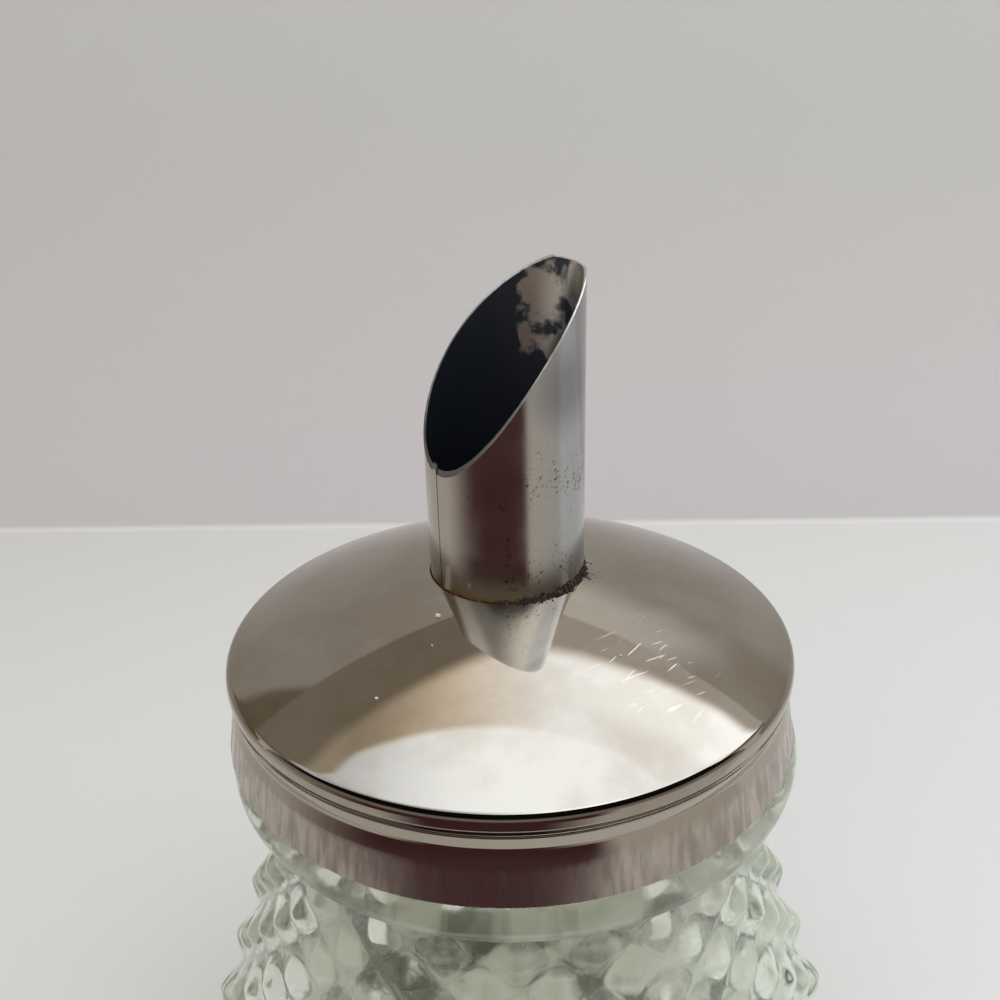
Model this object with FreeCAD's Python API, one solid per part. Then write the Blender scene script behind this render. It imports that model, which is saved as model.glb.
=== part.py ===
import FreeCAD, Part
import math
import os

# Sugar dispenser: a pressed glass jar with a diamond relief, a domed steel lid
# and a rolled steel spout that runs through the lid down into the jar.
# Millimetres. The origin is the centre of the base, +Z points up, and the
# scoop of the spout is lowest towards -X -Y and highest towards +X.

# ---- Driving sizes -------------------------------------------------------

# Lid
lid_radius = 34.0             # widest edge of the dome
sheet = 0.5                   # steel sheet of the lid
dome_rise = 9.0               # lid plane up to the dome's hole
dome_edge_angle = 26.0        # slope of the dome at its edge, degrees
dome_top_angle = 12.0         # slope of the dome at its hole, degrees
edge_height = 1.8             # lid plane down to the bottom of the rolled edge
edge_bend = 1.3               # bend radius at the top of the rolled edge
edge_lower_bend = 0.6         # bend radius at its bottom
waist_drop = 2.0              # lid plane down to the crease under the edge
waist_depth = 0.75            # crease inside the widest edge
waist_bend = 0.1
bead_drop = 2.3               # lid plane down to the bead
bead_depth = 0.1              # bead inside the widest edge
bead_bend = 0.3
groove_drop = 4.3             # lid plane down to the groove
groove_depth = 0.7            # groove inside the widest edge
groove_bend = 1.0
shoulder_drop = 5.9           # lid plane down to the top of the skirt
shoulder_depth = 0.15         # top of the skirt inside the widest edge
shoulder_bend = 1.5
skirt_height = 10.4           # lid plane down to the bottom of the skirt
skirt_flare = 0.6             # bottom of the skirt outside the widest edge
lid_shift = 0.4               # lid off the jar's axis, towards -X, in its thread's play

# Jar
jar_height = 96.5             # base to the plane of the lid's widest edge
belly_radius = 47.0           # widest place, on top of the relief
belly_height = 17.0           # height of the widest place above the base
foot_radius = 41.0            # edge of the base
wall = 3.4                    # glass behind the grooves of the relief
floor_thickness = 7.0         # glass under the contents
floor_corner = 7.0            # radius where the floor meets the wall
base_recess = 1.4             # hollow under the base, inside the foot ring
foot_ring_width = 5.0         # flat ring that the jar stands on
foot_plain = 5.0              # smooth band between the base and the relief
heel = 1.5                    # slanted edge around the foot ring

# Finish, the part of the jar inside the lid
finish_gap = 1.15             # finish to the lid around it, room for the thread
finish_wall = 4.6             # glass around the mouth
lip_rounding = 1.3

# Collar, the glass bead under the lid
collar_overhang = 0.3         # collar outside the bottom of the skirt
collar_bulge = 2.2            # collar outside the neck under it
collar_half_height = 2.9
collar_gap = 2.8              # bottom of the skirt to the collar's widest place
shoulder_gap = 6.4            # bottom of the skirt to the start of the relief

# Diamond relief
columns = 24                  # diamonds around the jar
relief_share = 0.055          # height of a diamond over its grooves, per radius
row_share = 0.13              # half a diamond's height, per local radius

# Spout
spout_diameter = 18.2
spout_wall = 0.3
scoop_low = 23.4              # lid plane up to the low side of the scoop
scoop_middle = 36.5           # lid plane up to the scoop at the axis
scoop_high = 44.6             # lid plane up to the far side of the scoop
scoop_tip = 44.3              # lid plane up to the blunt end of the scoop
scoop_azimuth = 45.0          # direction in which the scoop curves up, degrees
scoop_cross_slope = 15.6      # rise across that direction, degrees
spout_reach = 62.0            # lid plane down to the spout's lower tip
spout_foot_slope = 35.0       # slope of the cut at the lower end, degrees

# Clearances
seat_gap = 0.3                # dome's inside to the lip of the jar
skirt_gap = 0.35              # lid's skirt to the collar
spout_gap = 0.15              # spout to the hole in the dome, on the radius

# Fineness of the rounded places of the jar
arc_steps = 6

# ---- Sizes that follow ---------------------------------------------------

lid_plane = jar_height
spout_radius = spout_diameter / 2.0
hole_radius = spout_radius + spout_gap
skirt_radius = lid_radius + skirt_flare
lid_bore = lid_radius - waist_depth - sheet
finish_radius = lid_bore - finish_gap
mouth_radius = finish_radius - finish_wall
collar_radius = skirt_radius + collar_overhang
neck_radius = collar_radius - collar_bulge
collar_z = lid_plane - skirt_height - collar_gap
shoulder_z = lid_plane - skirt_height - shoulder_gap
sides = 2 * columns


# ---- Flat outlines -------------------------------------------------------

def profile_point(radius, height):
    """A point of an outline in the XZ plane."""
    return FreeCAD.Vector(radius, 0.0, height)


def heading(angle_deg):
    """Unit vector in the XZ plane, measured up from +X."""
    angle = math.radians(angle_deg)
    return profile_point(math.cos(angle), math.sin(angle))


def meet(point_a, angle_a, point_b, angle_b):
    """Where two lines in the XZ plane cross."""
    a = heading(angle_a)
    b = heading(angle_b)
    gap = point_b - point_a
    run = (gap.x * b.z - gap.z * b.x) / (a.x * b.z - a.z * b.x)
    return point_a + a * run


def bent_edges(corners, radii):
    """Straight runs between corners, joined by tangent bends."""
    edges = []
    start = corners[0]
    for index, radius in enumerate(radii):
        corner = corners[index + 1]
        back = (corners[index] - corner).normalize()
        ahead = (corners[index + 2] - corner).normalize()
        half = 0.5 * back.getAngle(ahead)
        reach = radius / math.tan(half)
        enter = corner + back * reach
        leave = corner + ahead * reach
        centre = corner + (back + ahead).normalize() * (radius / math.sin(half))
        middle = centre + (corner - centre).normalize() * radius
        if start.distanceToPoint(enter) > 1e-6:
            edges.append(Part.makeLine(start, enter))
        edges.append(Part.Arc(enter, middle, leave).toShape())
        start = leave
    edges.append(Part.makeLine(start, corners[-1]))
    return edges


def revolved(edges):
    """Solid of revolution about Z of a closed outline in the XZ plane."""
    face = Part.Face(Part.Wire(Part.__sortEdges__(edges)))
    axis = FreeCAD.Vector(0, 0, 1)
    return face.revolve(FreeCAD.Vector(0, 0, 0), axis, 360)


# ---- Lid -----------------------------------------------------------------

def dome_corners():
    """Hole, crest and edge of the dome, as three corners of its outline."""
    hole = profile_point(hole_radius, lid_plane + dome_rise)
    edge = profile_point(lid_radius, lid_plane)
    crest = meet(hole, -dome_top_angle, edge, 180.0 - dome_edge_angle)
    return hole, crest, edge


def dome_bend():
    """Radius of the dome's curve, as large as leaves straight ends on it."""
    hole, crest, edge = dome_corners()
    half_turn = math.radians(dome_edge_angle - dome_top_angle) / 2.0
    shorter = min(hole.distanceToPoint(crest), edge.distanceToPoint(crest))
    return (shorter - sheet) / math.tan(half_turn)


def dome_inside(radius):
    """Height of the dome's inside at a radius near its edge."""
    slope = math.radians(dome_edge_angle)
    return lid_plane + (lid_radius - radius) * math.tan(slope) - sheet / math.cos(slope)


def lid_outside():
    """Edges of the lid's outside, from the hole down to the hem."""
    corners = list(dome_corners()) + [
        profile_point(lid_radius, lid_plane - edge_height),
        profile_point(lid_radius - waist_depth, lid_plane - waist_drop),
        profile_point(lid_radius - bead_depth, lid_plane - bead_drop),
        profile_point(lid_radius - groove_depth, lid_plane - groove_drop),
        profile_point(lid_radius - shoulder_depth, lid_plane - shoulder_drop),
        profile_point(skirt_radius, lid_plane - skirt_height),
    ]
    radii = [dome_bend(), edge_bend, edge_lower_bend, waist_bend, bead_bend, groove_bend, shoulder_bend]
    return bent_edges(corners, radii)


def lid_inside():
    """Edges of the lid's inside, plain behind the rolled edge and the bead."""
    hole = dome_corners()[0]
    inner_hole = hole - profile_point(0.0, sheet / math.cos(math.radians(dome_top_angle)))
    inner_edge = profile_point(lid_bore, dome_inside(lid_bore))
    crest = meet(inner_hole, -dome_top_angle, inner_edge, 180.0 - dome_edge_angle)
    corners = [
        inner_hole,
        crest,
        inner_edge,
        profile_point(lid_bore, lid_plane - groove_drop),
        profile_point(lid_radius - shoulder_depth - sheet, lid_plane - shoulder_drop),
        profile_point(skirt_radius - sheet, lid_plane - skirt_height),
    ]
    radii = [dome_bend() - sheet, edge_bend - sheet, groove_bend, shoulder_bend]
    return bent_edges(corners, radii)


def make_lid():
    """Domed lid of one steel sheet with a rolled edge, bead and groove."""
    outside = lid_outside()
    inside = lid_inside()
    hole_edge = Part.makeLine(outside[0].Vertexes[0].Point, inside[0].Vertexes[0].Point)
    hem = Part.makeLine(outside[-1].Vertexes[-1].Point, inside[-1].Vertexes[-1].Point)
    return revolved(outside + inside + [hole_edge, hem])


# ---- Spout ---------------------------------------------------------------

def scoop_cutter():
    """What the scoop takes off: all above an arched, sloping surface."""
    overrun = 1.6 * spout_radius
    low = FreeCAD.Vector(-spout_radius, 0, lid_plane + scoop_low)
    middle = FreeCAD.Vector(0, 0, lid_plane + scoop_middle)
    high = FreeCAD.Vector(spout_radius, 0, lid_plane + scoop_high)
    arch = Part.Arc(low, middle, high).toShape().Curve
    centre = arch.Center
    radius = arch.Radius
    ends = []
    for x in (-overrun, 0.0, overrun):
        drop = math.sqrt(radius ** 2 - (x - centre.x) ** 2)
        ends.append(FreeCAD.Vector(x, 0, centre.z + drop))
    top = lid_plane + 2.0 * scoop_high
    above_end = FreeCAD.Vector(overrun, 0, top)
    above_start = FreeCAD.Vector(-overrun, 0, top)
    outline = Part.Wire([
        Part.Arc(ends[0], ends[1], ends[2]).toShape(),
        Part.makeLine(ends[2], above_end),
        Part.makeLine(above_end, above_start),
        Part.makeLine(above_start, ends[0]),
    ])
    span = 2.0 * overrun
    rise = span * math.tan(math.radians(scoop_cross_slope))
    face = Part.Face(outline)
    face.translate(FreeCAD.Vector(0, 0.5 * span, -0.5 * rise))
    cutter = face.extrude(FreeCAD.Vector(0, -span, rise))
    cutter.rotate(FreeCAD.Vector(0, 0, 0), FreeCAD.Vector(0, 0, 1), scoop_azimuth)
    return cutter


def foot_cutter():
    """What the slanted cut takes off the spout's lower end."""
    size = 8.0 * spout_radius  # far past the tube on every side
    box = Part.makeBox(size, size, size)
    box.translate(FreeCAD.Vector(-0.5 * size, -0.5 * size, -size))
    box.rotate(FreeCAD.Vector(0, 0, 0), FreeCAD.Vector(0, 1, 0), -spout_foot_slope)
    rise = spout_radius * math.tan(math.radians(spout_foot_slope))
    box.translate(FreeCAD.Vector(0, 0, lid_plane - spout_reach + rise))
    return box


def make_spout():
    """Thin rolled tube with a scoop at the top and a slanted lower end."""
    start = lid_plane - spout_reach
    length = spout_reach + scoop_tip
    base = FreeCAD.Vector(0, 0, start)
    outer = Part.makeCylinder(spout_radius, length, base)
    bore = Part.makeCylinder(spout_radius - spout_wall, length, base)
    tube = outer.cut(bore)
    return tube.cut(scoop_cutter()).cut(foot_cutter()).Solids[0]


# ---- Jar -----------------------------------------------------------------

def crest_radius(height):
    """Outside of the body over the tips of the diamonds."""
    if height >= belly_height:
        share = (shoulder_z - height) / (shoulder_z - belly_height)
        swell = math.sin(0.5 * math.pi * share) ** 2
        return neck_radius + (belly_radius - neck_radius) * swell
    share = (belly_height - height) / belly_height
    return belly_radius - (belly_radius - foot_radius) * share ** 2


def groove_radius(height):
    """Outside of the body at the bottom of the grooves."""
    return crest_radius(height) * (1.0 - relief_share)


def relief_heights():
    """Heights of the half rows of diamonds, from the shoulder to the foot."""
    heights = [shoulder_z]
    while True:
        step = row_share * crest_radius(heights[-1])
        if heights[-1] - step < foot_plain:
            return heights
        heights.append(heights[-1] - step)


def ring(radius, height):
    """Points around the jar, one for each half column."""
    points = []
    for index in range(sides):
        angle = 2.0 * math.pi * index / sides
        points.append(FreeCAD.Vector(radius * math.cos(angle), radius * math.sin(angle), height))
    return points


def relief_ring(height, row):
    """A half row: tips of diamonds alternate with corners of grooves."""
    tips = ring(crest_radius(height), height)
    corners = ring(groove_radius(height), height)
    points = []
    for index in range(sides):
        is_tip = (index + row) % 2 == 1
        points.append(tips[index] if is_tip else corners[index])
    return points


def flat_face(points):
    """Planar face through points in order."""
    return Part.Face(Part.makePolygon(points + [points[0]]))


def plain_band(upper, lower):
    """Flat faces between two round rings."""
    faces = []
    for index in range(sides):
        after = (index + 1) % sides
        faces.append(flat_face([upper[index], upper[after], lower[after], lower[index]]))
    return faces


def relief_band(upper, lower, row):
    """Triangles between two half rows, with an edge along each groove."""
    faces = []
    for index in range(sides):
        after = (index + 1) % sides
        if (index + row) % 2 == 1:
            faces.append(flat_face([upper[index], upper[after], lower[index]]))
            faces.append(flat_face([upper[after], lower[after], lower[index]]))
        else:
            faces.append(flat_face([upper[index], upper[after], lower[after]]))
            faces.append(flat_face([upper[index], lower[after], lower[index]]))
    return faces


def finish_outline():
    """Radius and height down the jar's outside, from the lip to the neck."""
    lip_outer = finish_radius - lip_rounding
    lip_top = dome_inside(lip_outer + lid_shift) - seat_gap
    outline = [(mouth_radius + 0.5 * lip_rounding, lip_top)]
    for step in range(arc_steps + 1):
        angle = 0.5 * math.pi * (1.0 - step / arc_steps)
        radius = lip_outer + lip_rounding * math.cos(angle)
        outline.append((radius, lip_top - lip_rounding * (1.0 - math.sin(angle))))
    ledge = lid_plane - skirt_height - skirt_gap
    top_angle = math.asin(min(1.0, (ledge - collar_z) / collar_half_height))
    outline.append((finish_radius, ledge))
    for step in range(2 * arc_steps + 1):
        angle = top_angle - step / (2.0 * arc_steps) * (top_angle + 0.5 * math.pi)
        radius = neck_radius + collar_bulge * math.cos(angle)
        outline.append((radius, collar_z + collar_half_height * math.sin(angle)))
    return outline


def inside_outline():
    """Radius and height down the jar's inside, from the mouth to the floor."""
    floor = floor_thickness
    outline = [(mouth_radius, finish_outline()[0][1] - 0.5 * lip_rounding)]
    depth = shoulder_z - floor - floor_corner
    steps = 2 * arc_steps
    for step in range(steps + 1):
        height = shoulder_z - depth * step / steps
        radius = max(mouth_radius, groove_radius(height) - wall)
        outline.append((radius, height))
    corner_centre = outline[-1][0] - floor_corner
    for step in range(1, arc_steps + 1):
        angle = 0.5 * math.pi * step / arc_steps
        radius = corner_centre + floor_corner * math.cos(angle)
        outline.append((radius, floor + floor_corner * (1.0 - math.sin(angle))))
    return outline


def base_outline():
    """Radius and height under the jar, from the foot to its hollow middle."""
    inner = foot_radius - heel - foot_ring_width
    return [
        (foot_radius, heel),
        (foot_radius - heel, 0.0),
        (inner, 0.0),
        (inner - base_recess, base_recess),
    ]


def outline_bands(outline, first=None):
    """Bands of flat faces down an outline, and its last ring."""
    faces = []
    above = first
    for radius, height in outline:
        below = ring(radius, height)
        if above:
            faces += plain_band(above, below)
        above = below
    return faces, above


def make_jar():
    """Pressed glass jar as one closed solid of flat faces."""
    faces, above = outline_bands(finish_outline())
    heights = relief_heights()
    start = ring(groove_radius(heights[0]), heights[0])
    faces += plain_band(above, start)
    above = start
    for row, height in enumerate(heights[1:-1]):
        below = relief_ring(height, row + 1)
        faces += relief_band(above, below, row)
        above = below
    below = ring(crest_radius(heights[-1]), heights[-1])
    faces += relief_band(above, below, len(heights) - 2)
    base_faces, above = outline_bands(base_outline(), below)
    faces += base_faces
    faces.append(flat_face(above))
    lip = ring(*finish_outline()[0])
    inside_faces, floor_ring = outline_bands(inside_outline(), lip)
    faces += inside_faces
    faces.append(flat_face(floor_ring))
    shell = Part.makeShell(faces)
    shell.sewShape()
    solid = Part.makeSolid(shell)
    if solid.Volume < 0.0:
        solid.reverse()
    return solid


# ---- Build ---------------------------------------------------------------

def main():
    pieces = {
        "jar": make_jar(),
        "lid": make_lid(),
        "spout": make_spout(),
    }
    for carried in ("lid", "spout"):
        pieces[carried].translate(FreeCAD.Vector(-lid_shift, 0, 0))
    os.makedirs("parts", exist_ok=True)
    for node, shape in pieces.items():
        shape.exportStep(os.path.join("parts", node + ".step"))
        print(node, shape.ShapeType, shape.isValid(), round(shape.Volume), shape.BoundBox)


main()
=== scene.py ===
import math
import random

import bmesh
import bpy
from mathutils import Euler, Matrix, Vector, noise


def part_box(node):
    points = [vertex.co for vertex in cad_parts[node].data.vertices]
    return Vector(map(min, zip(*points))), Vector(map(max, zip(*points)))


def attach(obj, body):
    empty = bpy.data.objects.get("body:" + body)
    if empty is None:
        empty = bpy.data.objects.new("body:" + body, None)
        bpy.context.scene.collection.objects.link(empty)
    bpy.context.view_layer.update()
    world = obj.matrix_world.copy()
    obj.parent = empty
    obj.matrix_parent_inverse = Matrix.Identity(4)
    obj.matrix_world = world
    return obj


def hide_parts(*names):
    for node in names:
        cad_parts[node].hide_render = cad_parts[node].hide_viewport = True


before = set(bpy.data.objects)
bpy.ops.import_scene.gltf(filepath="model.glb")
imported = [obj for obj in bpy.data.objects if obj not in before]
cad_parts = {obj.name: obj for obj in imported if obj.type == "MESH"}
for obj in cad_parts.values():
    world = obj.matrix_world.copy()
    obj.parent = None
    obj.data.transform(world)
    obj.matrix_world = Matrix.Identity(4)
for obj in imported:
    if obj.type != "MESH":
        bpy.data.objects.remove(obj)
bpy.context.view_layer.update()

bl_info = {
    "name": "Sugar Dispenser",
    "version": (1, 0, 0),
    "blender": (4, 5, 0),
    "location": "View3D > Sidebar > Dispenser",
    "description": "Glass jar, domed lid and spout of a sugar dispenser, built around its packed frame",
    "category": "Object",
}

MM = 0.001
JAR_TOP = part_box("jar")[1].z
LID_LOW, LID_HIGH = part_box("lid")
SPOUT_LOW, SPOUT_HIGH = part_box("spout")


# ---- Colours and properties ----------------------------------------------

def linear(hex_colour):
    """Linear red, green and blue of an sRGB hex colour."""
    channels = []
    for start in (1, 3, 5):
        share = int(hex_colour[start:start + 2], 16) / 255.0
        if share <= 0.04045:
            channels.append(share / 12.92)
        else:
            channels.append(((share + 0.055) / 1.055) ** 2.4)
    return tuple(channels)


def length(name, description, millimetres):
    """A length property, given in millimetres."""
    return bpy.props.FloatProperty(
        name=name, description=description, default=millimetres * MM, unit="LENGTH", precision=5)


def turn(name, description, degrees):
    """An angle property, given in degrees."""
    return bpy.props.FloatProperty(
        name=name, description=description, default=math.radians(degrees), unit="ROTATION")


def share(name, description, default):
    """A plain number property between 0 and 1."""
    return bpy.props.FloatProperty(
        name=name, description=description, default=default, min=0.0, max=1.0, subtype="FACTOR")


def colour(name, description, hex_colour):
    """A colour property, given as sRGB hex."""
    return bpy.props.FloatVectorProperty(
        name=name, description=description, default=linear(hex_colour), subtype="COLOR", size=3)


class JarSizes(bpy.types.PropertyGroup):
    """Sizes and colour of the glass jar."""
    neck_radius: length("Neck radius", "Narrowest place, under the collar", 32.7)
    belly_radius: length("Belly radius", "Widest place, over the tips of the diamonds", 47.0)
    belly_height: length("Belly height", "Height of the widest place", 17.0)
    foot_radius: length("Foot radius", "Edge of the base", 41.0)
    foot_plain: length("Foot band", "Smooth band under the diamonds", 5.0)
    wall: length("Wall", "Glass behind the grooves", 3.4)
    floor_thickness: length("Floor", "Glass under the contents", 7.0)
    floor_corner: length("Floor corner", "Radius where the floor meets the wall", 7.0)
    mouth_radius: length("Mouth radius", "Bore of the mouth", 27.0)
    finish_radius: length("Finish radius", "Outside of the glass within the lid", 31.6)
    collar_radius: length("Collar radius", "Bead of glass under the lid", 34.9)
    collar_height: length("Collar half height", "Half the height of the bead", 2.9)
    columns: bpy.props.IntProperty(
        name="Columns", description="Diamonds around the jar", default=24, min=3)
    relief_share: share("Relief", "Height of a diamond per radius", 0.055)
    row_share: share("Half row", "Half a diamond's height per radius", 0.13)
    tint: colour("Glass tint", "Colour of the light after a few centimetres of glass", "#CFD6BC")
    dust: colour("Sugar dust", "Film on the inside of the glass", "#E8E6DA")


class LidSizes(bpy.types.PropertyGroup):
    """Sizes and colours of the domed lid."""
    radius: length("Radius", "Widest edge of the dome", 34.0)
    offset: length("Offset", "Lid's axis to the left of the jar's", -0.5 * (LID_LOW.x + LID_HIGH.x) / MM)
    sheet: length("Sheet", "Thickness of the steel sheet", 0.5)
    skirt_height: length("Skirt height", "Bottom of the skirt up to the lid plane", 10.4)
    dome_rise: length("Dome rise", "Lid plane up to the hole's edge", 9.0)
    hole_radius: length("Hole radius", "Hole for the spout", 9.25)
    unevenness: length("Unevenness", "How far the pressed dome strays from true", 0.006)
    metal: colour("Dome", "Reflection of the browned dome", "#A89F94")
    tarnish: colour("Tarnish", "Reflection where the dome has dulled", "#9F9487")
    bead: colour("Bead", "Reflection of the bead and the groove", "#A79D91")
    skirt: colour("Skirt", "Reflection of the skirt", "#B8AEA4")
    handled: colour("Handled skirt", "Reflection where hands have dulled the skirt", "#9E948B")


class SpoutSizes(bpy.types.PropertyGroup):
    """Sizes and colours of the spout."""
    radius: length("Radius", "Outside of the tube", 9.1)
    wall: length("Wall", "Thickness of the rolled sheet", 0.3)
    scoop_azimuth: turn("Scoop azimuth", "Direction in which the scoop curves up", 45.0)
    cross_slope: turn("Cross slope", "Rise of the scoop across that direction", 15.6)
    foot_slope: turn("Foot slope", "Slope of the cut at the lower end", 35.0)
    seam_azimuth: turn("Seam azimuth", "Where the rolled sheet's edges meet", -146.0)
    seam_gap: length("Seam gap", "Open line between the sheet's edges", 0.12)
    metal: colour("Steel", "Reflection of the worn tube", "#B0A89C")
    # Bluish grey tone that the tube is given on its right side.
    right_side_tone: colour("Steel, right side", "Reflection of its right side", "#A2A2A3")
    stain: colour("Stain", "Dark stain inside the tube", "#2A2E34")
    foot_stain: colour("Foot stain", "Yellow oxide on the tube over the dome", "#B79C68")
    rust: colour("Rust", "Crust around the spout's foot", "#6B3A1C")


class StageSettings(bpy.types.PropertyGroup):
    """Camera, floor, backdrop and lights."""
    camera_distance: length("Camera distance", "Axis of the jar to the camera", 113.86)
    camera_rise: length("Camera rise", "Lid plane up to the camera", 69.38)
    camera_tilt: turn("Camera tilt", "How far the camera looks down", 24.471)
    camera_turn: turn("Camera turn", "How far the camera looks to the side", -0.338)
    camera_roll: turn("Camera roll", "How far the camera leans", 1.4496)
    lens: bpy.props.FloatProperty(
        name="Lens", description="Focal length on a 36 mm sensor", default=38.88, unit="CAMERA")
    wall_distance: length("Wall distance", "Axis of the jar to the backdrop", 229.0)
    wall_height: length("Wall height", "Height of the backdrop", 422.0)
    floor_colour: colour("Floor", "Plain pale floor", "#D3CFC9")
    wall_colour: colour("Backdrop", "Plain backdrop", "#BDB9B4")


class Settings(bpy.types.PropertyGroup):
    """All settings of the dispenser."""
    jar: bpy.props.PointerProperty(type=JarSizes)
    lid: bpy.props.PointerProperty(type=LidSizes)
    spout: bpy.props.PointerProperty(type=SpoutSizes)
    stage: bpy.props.PointerProperty(type=StageSettings)


def lid_plane(settings):
    """Height of the plane of the lid's widest edge."""
    return LID_LOW.z + settings.lid.skirt_height


# ---- Node and mesh helpers -----------------------------------------------

def add_node(tree, kind, settings=None, inputs=None):
    """Adds a node, sets its properties, and sets or links its inputs."""
    node = tree.nodes.new(kind)
    for name, value in (settings or {}).items():
        setattr(node, name, value)
    for name, value in (inputs or {}).items():
        socket = node.inputs[name]
        if isinstance(value, bpy.types.NodeSocket):
            tree.links.new(value, socket)
        elif socket.type == "RGBA":
            socket.default_value = (*value, 1.0)
        else:
            socket.default_value = value
    return node


def new_material(name):
    """An empty node material, and its tree."""
    material = bpy.data.materials.new(name)
    material.use_nodes = True
    material.node_tree.nodes.clear()
    return material, material.node_tree


def finished(material, surface, volume=None):
    """The material with those sockets as its surface and volume."""
    output = add_node(material.node_tree, "ShaderNodeOutputMaterial", None, {"Surface": surface})
    if volume:
        material.node_tree.links.new(volume, output.inputs["Volume"])
    return material


def object_place(tree):
    """Place on the piece, in metres."""
    return add_node(tree, "ShaderNodeTexCoord").outputs["Object"]


def coordinates(tree, place):
    """Coordinates of a place: across to the right, back, and up."""
    node = add_node(tree, "ShaderNodeSeparateXYZ", None, {"Vector": place})
    return node.outputs["X"], node.outputs["Y"], node.outputs["Z"]


def distance_to(tree, place, middle):
    """Distance from a place to a fixed point."""
    node = add_node(tree, "ShaderNodeVectorMath", {"operation": "DISTANCE"}, {0: place, 1: middle})
    return node.outputs["Value"]


def mottled(tree, place, size, detail, roughness=0.5):
    """Soft random clouds whose features are about that size, in metres."""
    node = add_node(tree, "ShaderNodeTexNoise", None, {
        "Vector": place, "Scale": 1.0 / size, "Detail": detail, "Roughness": roughness})
    return node.outputs["Fac"]


def stepped(tree, value, low, high, first=0.0, last=1.0):
    """The first level up to low, the last from high on, and smooth between.
    Low may be above high."""
    node = add_node(tree, "ShaderNodeMapRange", {"interpolation_type": "SMOOTHSTEP"}, {
        "Value": value, "From Min": low, "From Max": high, "To Min": first, "To Max": last})
    return node.outputs["Result"]


def calculated(tree, operation, first, second=0.0, third=0.0):
    """Result of a Math node."""
    node = add_node(tree, "ShaderNodeMath", {"operation": operation}, {0: first, 1: second, 2: third})
    return node.outputs["Value"]


def between(tree, factor, low, high):
    """A number that goes from low to high as the factor goes from 0 to 1."""
    node = add_node(tree, "ShaderNodeMapRange", None, {"Value": factor, "To Min": low, "To Max": high})
    return node.outputs["Result"]


def blended(tree, factor, first, second):
    """Mix of two colours."""
    node = add_node(tree, "ShaderNodeMix", {"data_type": "RGBA"},
                    {"Factor": factor, "A": first, "B": second})
    return node.outputs["Result"]


def linked_mesh(name, bm, materials):
    """An object in the scene made of a bmesh, which is used up."""
    mesh = bpy.data.meshes.new(name)
    bm.to_mesh(mesh)
    bm.free()
    for material in materials:
        mesh.materials.append(material)
    made = bpy.data.objects.new(name, mesh)
    bpy.context.scene.collection.objects.link(made)
    return made


def mesh_piece(name, bm, materials):
    """Turns a bmesh into a smooth-shaded piece that rides on the body."""
    bmesh.ops.recalc_face_normals(bm, faces=bm.faces)
    for face in bm.faces:
        face.smooth = True
    piece = linked_mesh(name, bm, materials)
    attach(piece, "root")
    return piece


def join_rings(bm, rings, closed=False, slants_back=None):
    """Faces between neighbouring rings of vertices, each ring closed on itself."""
    pairs = list(zip(rings, rings[1:]))
    if closed:
        pairs.append((rings[-1], rings[0]))
    faces = []
    for row, (upper, lower) in enumerate(pairs):
        count = len(upper)
        for index in range(count):
            after = (index + 1) % count
            corners = [upper[index], upper[after], lower[after], lower[index]]
            if slants_back is None or slants_back(row, index) is None:
                faces.append(bm.faces.new(corners))
            elif slants_back(row, index):
                faces.append(bm.faces.new([corners[0], corners[1], corners[3]]))
                faces.append(bm.faces.new([corners[1], corners[2], corners[3]]))
            else:
                faces.append(bm.faces.new([corners[0], corners[1], corners[2]]))
                faces.append(bm.faces.new([corners[0], corners[2], corners[3]]))
    return faces


def ring_of(bm, radii, height):
    """A ring of vertices about the Z axis, one at each radius."""
    ring = []
    for index, radius in enumerate(radii):
        angle = 2.0 * math.pi * index / len(radii)
        ring.append(bm.verts.new((radius * math.cos(angle), radius * math.sin(angle), height)))
    return ring


def arc_points(centre, radius, start, end, steps):
    """Points of an arc in the radius-height plane, angles in degrees."""
    points = []
    for step in range(steps + 1):
        angle = math.radians(start + (end - start) * step / steps)
        points.append(Vector((centre[0] + radius * math.cos(angle), centre[1] + radius * math.sin(angle))))
    return points


def bent_line(corners, radii, bend_step=math.radians(5.0), longest=0.8 * MM):
    """Points along straight runs between corners, joined by tangent bends."""
    corners = [Vector(corner) for corner in corners]
    points = [corners[0]]
    for before, corner, after, radius in zip(corners, corners[1:], corners[2:], radii):
        back = (before - corner).normalized()
        ahead = (after - corner).normalized()
        half = 0.5 * back.angle(ahead)
        middle = (back + ahead).normalized()
        centre = corner + middle * (radius / math.sin(half))
        start = corner + back * (radius / math.tan(half)) - centre
        sweep = start.angle_signed(corner + ahead * (radius / math.tan(half)) - centre)
        steps = max(2, math.ceil(abs(sweep) / bend_step), math.ceil(abs(sweep) * radius / longest))
        for step in range(steps + 1):
            turned = start.copy()
            turned.rotate(Matrix.Rotation(-sweep * step / steps, 2))
            points.append(centre + turned)
    points.append(corners[-1])
    return points


def meeting(point_a, angle_a, point_b, angle_b):
    """Where two lines cross, each a point and an angle in degrees."""
    a = Vector((math.cos(math.radians(angle_a)), math.sin(math.radians(angle_a))))
    b = Vector((math.cos(math.radians(angle_b)), math.sin(math.radians(angle_b))))
    gap = point_b - point_a
    run = (gap.x * b.y - gap.y * b.x) / (a.x * b.y - a.y * b.x)
    return point_a + a * run


def subdivided(points, longest):
    """The same line with no span longer than that."""
    finer = [points[0]]
    for start, end in zip(points, points[1:]):
        steps = max(1, math.ceil((end - start).length / longest))
        for step in range(1, steps + 1):
            finer.append(start.lerp(end, step / steps))
    return finer


# ---- Materials -----------------------------------------------------------

GLASS_IOR = 1.52


def surfaced(material, inputs):
    """The material with a Principled surface that has those inputs."""
    surface = add_node(material.node_tree, "ShaderNodeBsdfPrincipled", None, inputs)
    return finished(material, surface.outputs["BSDF"])


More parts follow.
